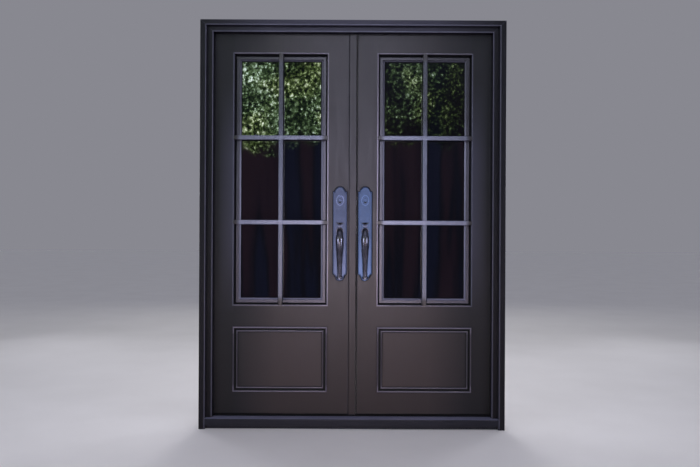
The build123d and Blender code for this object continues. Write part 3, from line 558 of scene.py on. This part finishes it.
def screws(name, places, axis, r, body, mat):
    """places: (x, y, z, slot turn in degrees); axis: outward direction of the heads."""
    bm = bmesh.new()
    q = Vector(axis).to_track_quat("Z", "Y").to_matrix().to_4x4()
    for x, y, z, turn in places:
        m = Matrix.Translation((x, y, z)) @ q @ Matrix.Rotation(math.radians(turn), 4, "Z") @ Matrix.Scale(r, 4)
        t = bmesh.new()
        t.from_mesh(SCREW)
        bmesh.ops.transform(t, matrix=m, verts=t.verts)
        tmp = bpy.data.meshes.new("t")
        t.to_mesh(tmp)
        t.free()
        bm.from_mesh(tmp)
        bpy.data.meshes.remove(tmp)
    return piece(name, bm, mat, body)


def tube(bm, pts, radius, sides=10, close=False):
    """Tube through pts; radius is a function of the point's index."""
    n = len(pts)
    rings = []
    for i, p in enumerate(pts):
        a = pts[(i - 1) % n] if close else pts[max(i - 1, 0)]
        b = pts[(i + 1) % n] if close else pts[min(i + 1, n - 1)]
        d = (Vector(b) - Vector(a)).normalized()
        q = d.to_track_quat("Z", "Y").to_matrix()
        r = radius(i)
        rings.append([bm.verts.new(Vector(p) + q @ Vector((r * math.cos(2 * math.pi * k / sides),
                                                           r * math.sin(2 * math.pi * k / sides), 0)))
                      for k in range(sides)])
    for i in range(n if close else n - 1):
        a, b = rings[i], rings[(i + 1) % n]
        for k in range(sides):
            bm.faces.new((a[k], a[(k + 1) % sides], b[(k + 1) % sides], b[k]))
    if not close:
        bm.faces.new(rings[0][::-1])
        bm.faces.new(rings[-1])


def dense(path, step):
    out = []
    for a, b in zip(path, path[1:]):
        a, b = Vector(a), Vector(b)
        n = max(1, int((b - a).length / step))
        out += [tuple(a.lerp(b, i / n)) for i in range(n)]
    out.append(tuple(path[-1]))
    return out


def weld(bm, path, seed):
    pts = dense(path, 0.0011)

    def rad(i):
        return 0.0023 + 0.00038 * math.sin(i * 1.9 + seed) + 0.00018 * math.sin(i * 0.37 + 2.0 * seed)

    tube(bm, pts, rad, 8)


weld_paint = paint("weld_paint", (0.020, 0.018, 0.021), (0.036, 0.031, 0.036), (0.034, 0.028, 0.028), rough=0.36, metal=0.3)

for s, d in (("left", -1), ("right", 1)):
    L = s + "_leaf"
    # weld beads round the tabs of the barrel hinges
    on_leaf, on_frame = bmesh.new(), bmesh.new()
    for k, zc in enumerate((0.330, 1.230, 2.130)):
        y = 0.0612
        a, b = zc + 0.0017, zc + 0.0467
        weld(on_leaf, [(d * 0.836, y, a), (d * 0.8042, y, a), (d * 0.8042, y, b), (d * 0.836, y, b)], k + 0.4)
        a, b = zc - 0.0465, zc - 0.0015
        weld(on_frame, [(d * 0.863, y, a), (d * 0.8928, y, a), (d * 0.8928, y, b), (d * 0.863, y, b)], k + 2.7)
    piece(s + "_hinge_welds", on_leaf, weld_paint, L)
    piece(s + "_jamb_hinge_welds", on_frame, weld_paint, "frame")
    # screws of the inner plate and of the brackets that carry the sash
    screws(s + "_inner_plate_screws",
           [(d * 0.076 + dx, 0.0660, z, t) for dx, z, t in ((-0.031, 1.404, 20), (0.031, 1.404, -35), (-0.031, 0.940, 75),
                                                            (0.031, 0.940, 10))],
           (0, 1, 0), 0.0048, L, plate_metal)
    sp = []
    for k, zc in enumerate((0.900, 1.491, 2.080)):
        for j, dz in enumerate((-0.0225, 0.0225)):
            sp.append((d * 0.7250, 0.0650, zc + dz, 40 * k + 65 * j))
    screws(s + "_sash_hinge_screws", sp, (0, 1, 0), 0.0032, L, grip_metal)
    # screws of the glazing stop on the inside of the sash
    st = []
    for k, z in enumerate((0.80, 1.10, 1.40, 1.70, 2.00, 2.19)):
        for j, x in enumerate((0.176, 0.694)):
            if j == 1 and min(abs(z - q) for q in (0.900, 1.491, 2.080)) < 0.03:
                continue
            st.append((d * x, 0.0620, z, 37 * k + 50 * j))
    for k, x in enumerate((0.300, 0.435, 0.570)):
        for j, z in enumerate((0.757, 2.226)):
            st.append((d * x, 0.0620, z, 61 * k + 20 * j))
    screws(s + "_glazing_stop_screws", st, (0, 1, 0), 0.0030, s + "_sash", sash_paint)
    # black glazing seals, outside and inside of the pane
    for side, y0, inward in (("outer", 0.049, -1), ("inner", 0.057, 1)):
        x0, x1, z0, z1 = 0.192, 0.678, 0.773, 2.210
        prof = [(0.0, 0.0), (0.0, 0.0042), (0.0012, 0.0036), (0.0030, 0.0022), (0.0042, 0.0008), (0.0046, 0.0)]
        bm = bmesh.new()
        rows = []
        for u, v in prof:
            y = y0 + inward * v
            rows.append([bm.verts.new((d * (x0 + u), y, z0 + u)), bm.verts.new((d * (x1 - u), y, z0 + u)),
                         bm.verts.new((d * (x1 - u), y, z1 - u)), bm.verts.new((d * (x0 + u), y, z1 - u))])
        m = len(rows)
        for i in range(m):
            a, b = rows[i], rows[(i + 1) % m]
            for k in range(4):
                bm.faces.new((a[k], a[(k + 1) % 4], b[(k + 1) % 4], b[k]))
        piece(s + "_glazing_seal_" + side, bm, seal, s + "_sash")

def plate_rim(d, off, n=14):
    """Outline of the outer plate grown by off, as (x, z) points."""
    hw, r, zt, zb, z0 = 0.0405, 0.030, 1.418, 0.925, 0.883
    pts = [(-hw - off, zb), (-hw - off, zt + off)]
    for i in range(n + 1):
        t = math.pi - math.pi * i / n
        pts.append(((r + off) * math.cos(t), max(zt + off, zt + (r + off) * math.sin(t))))
    pts += [(hw + off, zt + off), (hw + off, zb), (hw - 0.003 + off, zb - 0.004 - off * 0.5),
            (hw - 0.0105 + off * 0.9, zb - 0.0105 - off * 0.6), (hw - 0.013 + off * 0.9, zb - 0.014 - off * 0.6),
            (hw - 0.0155 + off * 0.9, zb - 0.020 - off * 0.5), (hw - 0.017 + off * 0.8, zb - 0.026 - off * 0.6)]
    cx, w = 0.0, hw - 0.017
    rr = (w * w + (zb - 0.026 - z0) ** 2) / (2 * (zb - 0.026 - z0))
    zc = z0 + rr
    a0 = math.atan2(zb - 0.026 - zc, w)
    for i in range(1, n):
        t = a0 + (-math.pi - 2 * a0) * i / n
        pts.append(((rr + off) * math.cos(t), zc + (rr + off) * math.sin(t)))
    pts += [(-x, z) for x, z in ((hw - 0.017 + off * 0.8, zb - 0.026 - off * 0.6), (hw - 0.0155 + off * 0.9, zb - 0.020 - off * 0.5),
                                 (hw - 0.013 + off * 0.9, zb - 0.014 - off * 0.6), (hw - 0.0105 + off * 0.9, zb - 0.0105 - off * 0.6),
                                 (hw - 0.003 + off, zb - 0.004 - off * 0.5))]
    return [(d * 0.076 + x, z) for x, z in pts]


# a black gasket rim round each outer plate, made wide enough to stand in for the plate's contact shadow as a painted
# shadow
for s, d in (("left", -1), ("right", 1)):
    bm = bmesh.new()
    inner, outer = plate_rim(d, -0.0015), plate_rim(d, 0.0040)
    y1, y0 = 0.0040, 0.0022
    ring = [[bm.verts.new((x, y, z)) for x, z in path]
            for path, y in ((inner, y1), (inner, y0), (outer, y0 + 0.0003), (outer, y1))]
    cnt = len(inner)
    for a, b in ((0, 1), (1, 2), (2, 3), (3, 0)):
        for i in range(cnt):
            j = (i + 1) % cnt
            bm.faces.new((ring[a][i], ring[b][i], ring[b][j], ring[a][j]))
    piece(s + "_plate_gasket_and_shadow", bm, seal, s + "_leaf")

def sweep(name, x0, x1, body):
    """Painted carrier with a rubber fin, along the inside foot of a leaf."""
    carrier = [(0.0611, 0.0830), (0.0611, 0.1080), (0.0622, 0.1095), (0.0638, 0.1092), (0.0650, 0.1078), (0.0655, 0.1055),
               (0.0655, 0.0852), (0.0668, 0.0838), (0.0668, 0.0812), (0.0655, 0.0800), (0.0625, 0.0800)]
    fin = [(0.0624, 0.0803), (0.0646, 0.0803), (0.0646, 0.0700), (0.0652, 0.0640), (0.0649, 0.0585), (0.0640, 0.0560),
           (0.0630, 0.0566), (0.0634, 0.0600), (0.0634, 0.0640), (0.0628, 0.0700)]
    for tag, prof, mat, slot, ends in (("_carrier", carrier, leaf_paint, "leaf_paint", 0.0), ("_fin", fin, seal, "black_rubber", 0.0004)):
        bm = bmesh.new()
        a = [bm.verts.new((x0 - ends, y, z)) for y, z in prof]
        b = [bm.verts.new((x1 + ends, y, z)) for y, z in prof]
        n = len(prof)
        for i in range(n):
            bm.faces.new((a[i], a[(i + 1) % n], b[(i + 1) % n], b[i]))
        bm.faces.new(a[::-1])
        bm.faces.new(b)
        piece(name + tag, bm, mat, body)


sweep("left_sweep", -0.838, 0.0240, "left_leaf")
sweep("right_sweep", 0.0254, 0.838, "right_leaf")
for s, d in (("left", -1), ("right", 1)):
    screws(s + "_sweep_screws", [(d * x, 0.0655, 0.0965, 25 + 50 * i) for i, x in enumerate((0.07, 0.25, 0.435, 0.62, 0.80))],
           (0, 1, 0), 0.0032, s + "_leaf", plate_metal)

screws("strike_screws", [(0.02345, 0.0325, z, t) for z, t in ((1.176, 15), (1.384, 70))], (1, -0.0475, 0), 0.0036,
       "left_leaf", zinc)
screws("lock_face_screws", [(0.02665, 0.0325, z, t) for z, t in ((1.176, -20), (1.384, 50))], (-1, -0.0474, 0), 0.0036,
       "right_leaf", zinc)

# ---------------------------------------------------------------------- stage
def studio_floor():
    me = bpy.data.meshes.new("floor")
    bm = bmesh.new()
    s = 30.0
    vs = [bm.verts.new((x, y, 0.0)) for x, y in ((-s, -s), (s, -s), (s, s), (-s, s))]
    bm.faces.new(vs)
    bm.to_mesh(me)
    bm.free()
    o = bpy.data.objects.new("floor", me)
    bpy.context.scene.collection.objects.link(o)
    m = Mat("floor_pale")
    a = m.noise(2.0, 4.0, 0.5)
    m.link(m.ramp(a, [(0.3, c4(0.83, 0.80, 0.74)), (0.7, c4(0.87, 0.84, 0.78))]), m.b.inputs["Base Color"])
    m.b.inputs["Roughness"].default_value = 0.85
    o.data.materials.append(m.m)
    o.visible_glossy = False
    return o


studio_floor()

world = bpy.data.worlds.new("studio")
bpy.context.scene.world = world
world.use_nodes = True
wt = world.node_tree
wt.nodes.clear()
wo = wt.nodes.new("ShaderNodeOutputWorld")
WORLD_SOFT = 0.32          # even light on matt surfaces
WORLD_GLOSS = 1.00         # what polished surfaces mirror
WORLD_SEEN = 0.31          # the plain backdrop
bg_seen = wt.nodes.new("ShaderNodeBackground")
bg_seen.inputs[0].default_value = (0.795, 0.795, 0.90, 1)
bg_seen.inputs[1].default_value = WORLD_SEEN
bg_soft = wt.nodes.new("ShaderNodeBackground")
bg_soft.name = "bg_soft"
bg_soft.inputs[0].default_value = (0.90, 0.92, 1.12, 1)
bg_soft.inputs[1].default_value = WORLD_SOFT
bg_gloss = wt.nodes.new("ShaderNodeBackground")
bg_gloss.name = "bg_gloss"
bg_gloss.inputs[1].default_value = WORLD_GLOSS
tc = wt.nodes.new("ShaderNodeTexCoord")
sep = wt.nodes.new("ShaderNodeSeparateXYZ")
wt.links.new(tc.outputs["Generated"], sep.inputs[0])


def w_range(v, a, b, c, d, smooth=True):
    n = wt.nodes.new("ShaderNodeMapRange")
    if smooth:
        n.interpolation_type = "SMOOTHSTEP"
    for i, x in zip((1, 2, 3, 4), (a, b, c, d)):
        n.inputs[i].default_value = x
    wt.links.new(v, n.inputs[0])
    return n.outputs[0]


def w_math(op, a, b):
    n = wt.nodes.new("ShaderNodeMath")
    n.operation = op
    for i, v in enumerate((a, b)):
        if isinstance(v, (int, float)):
            n.inputs[i].default_value = v
        else:
            wt.links.new(v, n.inputs[i])
    return n.outputs[0]


def w_noise(scale, detail, rough):
    n = wt.nodes.new("ShaderNodeTexNoise")
    n.inputs["Scale"].default_value = scale
    n.inputs["Detail"].default_value = detail
    n.inputs["Roughness"].default_value = rough
    wt.links.new(tc.outputs["Generated"], n.inputs["Vector"])
    return n.outputs["Fac"]


def w_ramp(fac, stops):
    r = wt.nodes.new("ShaderNodeValToRGB")
    e = r.color_ramp.elements
    while len(e) > 1:
        e.remove(e[-1])
    e[0].position, e[0].color = stops[0][0], stops[0][1]
    for p, c in stops[1:]:
        k = e.new(p)
        k.color = c
    wt.links.new(fac, r.inputs[0])
    return r.outputs[0]


def w_mix(fac, a, b, mode="MIX"):
    n = wt.nodes.new("ShaderNodeMix")
    n.data_type = "RGBA"
    n.blend_type = mode
    if isinstance(fac, (int, float)):
        n.inputs[0].default_value = fac
    else:
        wt.links.new(fac, n.inputs[0])
    for v, q in ((a, n.inputs[6]), (b, n.inputs[7])):
        if isinstance(v, tuple):
            q.default_value = v
        else:
            wt.links.new(v, q)
    return n.outputs[2]


# what polished surfaces mirror: dim low down, a mottled green and pale band above eye level
base_tone = w_ramp(w_range(sep.outputs[2], -0.30, 0.85, 0.0, 1.0, False),
                   [(0.0, (0.045, 0.040, 0.055, 1)), (0.27, (0.055, 0.052, 0.078, 1)), (0.60, (0.16, 0.18, 0.26, 1)),
                    (1.0, (0.30, 0.34, 0.46, 1))])
fine = w_math("ADD", w_math("MULTIPLY", w_noise(250.0, 3.5, 0.78), 0.78), w_math("MULTIPLY", w_noise(26.0, 2.0, 0.5), 0.22))
# sparser, with fewer gaps of light, towards +X
thin = w_math("MULTIPLY", w_range(sep.outputs[0], -0.02, 0.04, 0.0, 1.0), w_range(w_noise(15.0, 2.0, 0.5), 0.44, 0.58, 0.085, 0.030))
fine = w_math("SUBTRACT", fine, thin)
leafy = w_ramp(fine, [(0.41, (0.012, 0.014, 0.012, 1)), (0.475, (0.070, 0.120, 0.035, 1)), (0.53, (0.55, 0.86, 0.22, 1)),
                      (0.58, (2.5, 3.3, 1.4, 1)), (0.64, (9.4, 9.8, 8.2, 1))])
bluish = w_ramp(fine, [(0.41, (0.010, 0.016, 0.024, 1)), (0.475, (0.050, 0.105, 0.060, 1)), (0.53, (0.34, 0.68, 0.30, 1)),
                       (0.58, (1.7, 2.8, 2.0, 1)), (0.64, (7.0, 8.8, 10.0, 1))])
mottle = w_mix(w_range(w_noise(13.0, 2.0, 0.5), 0.42, 0.56, 0.60, 0.05), leafy, bluish)
# ragged lower fringe
ragged = w_math("ADD", sep.outputs[2], w_math("MULTIPLY", w_math("SUBTRACT", w_noise(20.0, 3.0, 0.6), 0.5), 0.14))
lift = w_math("MULTIPLY", w_range(ragged, 0.100, 0.125, 0.0, 1.0), w_range(sep.outputs[2], 0.32, 0.50, 1.0, 0.0))
lift = w_math("MULTIPLY", lift, w_range(sep.outputs[0], -0.02, 0.04, 1.0, 0.75))
ahead = w_range(sep.outputs[1], -0.80, -0.60, 1.0, 0.0)
lift = w_math("MULTIPLY", lift, w_math("ADD", w_math("MULTIPLY", ahead, 0.75), 0.25))
# upright posts of warm and cold dark tone below the foliage
mp = wt.nodes.new("ShaderNodeMapping")
mp.inputs["Scale"].default_value = (34.0, 1.0, 3.0)
wt.links.new(tc.outputs["Generated"], mp.inputs["Vector"])
posts = wt.nodes.new("ShaderNodeTexNoise")
posts.inputs["Scale"].default_value = 1.0
posts.inputs["Detail"].default_value = 2.0
wt.links.new(mp.outputs[0], posts.inputs["Vector"])
dusk = w_ramp(posts.outputs["Fac"], [(0.40, (0.034, 0.044, 0.105, 1)), (0.47, (0.026, 0.028, 0.045, 1)), (0.54, (0.078, 0.046, 0.070, 1)),
                                     (0.62, (0.100, 0.056, 0.080, 1))])
base_tone = w_mix(w_math("MULTIPLY", ahead, w_range(sep.outputs[2], 0.22, 0.12, 0.0, 0.85)), base_tone, dusk)
# a pale ground far below
base_tone = w_mix(w_range(sep.outputs[2], -0.40, -0.70, 0.0, 1.0), base_tone, (0.40, 0.37, 0.40, 1))
wt.links.new(w_mix(lift, base_tone, mottle), bg_gloss.inputs[0])
lp = wt.nodes.new("ShaderNodeLightPath")
mg = wt.nodes.new("ShaderNodeMixShader")
wt.links.new(lp.outputs["Is Glossy Ray"], mg.inputs[0])
wt.links.new(bg_soft.outputs[0], mg.inputs[1])
wt.links.new(bg_gloss.outputs[0], mg.inputs[2])
mx = wt.nodes.new("ShaderNodeMixShader")
wt.links.new(lp.outputs["Is Camera Ray"], mx.inputs[0])
wt.links.new(mg.outputs[0], mx.inputs[1])
wt.links.new(bg_seen.outputs[0], mx.inputs[2])
wt.links.new(mx.outputs[0], wo.inputs[0])


def area(name, loc, target, w, h, power, color=(1, 1, 1)):
    l = bpy.data.lights.new(name, "AREA")
    l.shape = "RECTANGLE"
    l.size, l.size_y = w, h
    l.energy = power
    l.color = color
    o = bpy.data.objects.new(name, l)
    bpy.context.scene.collection.objects.link(o)
    o.location = loc
    d = Vector(target) - Vector(loc)
    o.rotation_mode = "QUATERNION"
    o.rotation_quaternion = d.to_track_quat("-Z", "Y")
    return o


panes = bpy.data.collections.new("panes")
for n in N:
    if "glass" in n:
        panes.objects.link(N[n])
for c in panes.collection_objects:
    c.light_linking.link_state = "EXCLUDE"


grips = bpy.data.collections.new("grips")
calm = bpy.data.collections.new("calm")
metalwork = bpy.data.collections.new("metalwork")
for n in N:
    if "outer_plate" in n or "keyhole_cover" in n or "thumb_piece" in n or "pull_grip" in n:
        metalwork.objects.link(N[n])
    if "pull_grip" in n:
        grips.objects.link(N[n])
    if "glass" in n or "pull_grip" in n:
        calm.objects.link(N[n])
for c in calm.collection_objects:
    c.light_linking.link_state = "EXCLUDE"


def key(name, loc, target, w, h, power, color, spread, only=None):
    # the front panels model the paint and the metal; the panes mirror only the room
    o = area(name, loc, target, w, h, power, color)
    o.data.spread = math.radians(spread)
    o.light_linking.receiver_collection = only or panes
    return o


key("key_strip", (0.0, -5.6, 1.95), (0, 0, 1.50), 0.8, 2.2, 2.5, (0.94, 0.93, 1.16), 34, calm)
key("key_high", (0.0, -5.6, 4.20), (0, 0, 2.45), 1.8, 1.0, 1.6, (0.95, 0.95, 1.20), 34)
key("key_low", (0.0, -5.2, 0.75), (0, 0, 0.45), 1.8, 0.7, 1.85, (1.18, 0.97, 0.95), 30)
key("spark_left", (-4.6, -3.8, 1.55), (0, 0, 1.10), 0.9, 2.0, 16, (0.88, 0.94, 1.20), 60, grips)
key("spark_right", (4.6, -3.8, 1.55), (0, 0, 1.10), 0.9, 2.0, 16, (0.88, 0.94, 1.20), 60, grips)
key("glint_left", (-4.4, -4.0, 1.70), (0, 0, 1.20), 1.2, 2.2, 7.5, (0.92, 0.94, 1.16), 60)
key("glint_right", (4.4, -4.0, 1.70), (0, 0, 1.20), 1.2, 2.2, 7.5, (0.92, 0.94, 1.16), 60)
key("foot_glow", (0.0, -1.15, 0.12), (0, 0, 0.90), 1.0, 0.35, 15, (0.95, 0.95, 1.15), 120, metalwork)
key("top_soft", (0.0, -2.3, 5.0), (0, 0.3, 0.6), 4.5, 2.6, 25, (0.93, 0.95, 1.18), 180)
key("side_left", (-4.6, -1.6, 2.2), (0, 0, 1.3), 1.4, 2.8, 5, (0.92, 0.94, 1.20), 180)
key("side_right", (4.6, -1.6, 2.2), (0, 0, 1.3), 1.4, 2.8, 5, (0.92, 0.94, 1.20), 180)
key("back_strip", (0.0, 5.6, 2.0), (0, 0, 1.40), 1.6, 2.6, 22, (0.97, 0.96, 1.08), 60)
key("back_left", (-4.2, 4.2, 1.7), (0, 0, 1.20), 1.4, 2.2, 16, (0.95, 0.96, 1.10), 70)
key("back_right", (4.2, 4.2, 1.7), (0, 0, 1.20), 1.4, 2.2, 16, (0.95, 0.96, 1.10), 70)
key("back_soft", (0.0, 5.5, 4.0), (0, 0, 1.2), 5.0, 3.0, 60, (1, 1, 1), 180)

# --------------------------------------------------------------------- camera
cam = bpy.data.cameras.new("camera")
cam.sensor_fit = "HORIZONTAL"
cam.sensor_width = 36.0
cam.lens = 757.0 / 700.0 * 36.0
cam.shift_x = -2.5 / 700.0
cam.shift_y = -8.5 / 700.0
cam.clip_start, cam.clip_end = 0.05, 200.0
co = bpy.data.objects.new("camera", cam)
bpy.context.scene.collection.objects.link(co)
co.location = (0.0, -4.561, 1.218)
look = Matrix.Rotation(math.radians(90.0), 4, "X")
roll = Matrix.Rotation(math.radians(0.28), 4, "Z")
co.rotation_mode = "QUATERNION"
co.rotation_quaternion = (look @ roll).to_quaternion()
bpy.context.scene.camera = co

bpy.context.scene.view_settings.view_transform = "Standard"
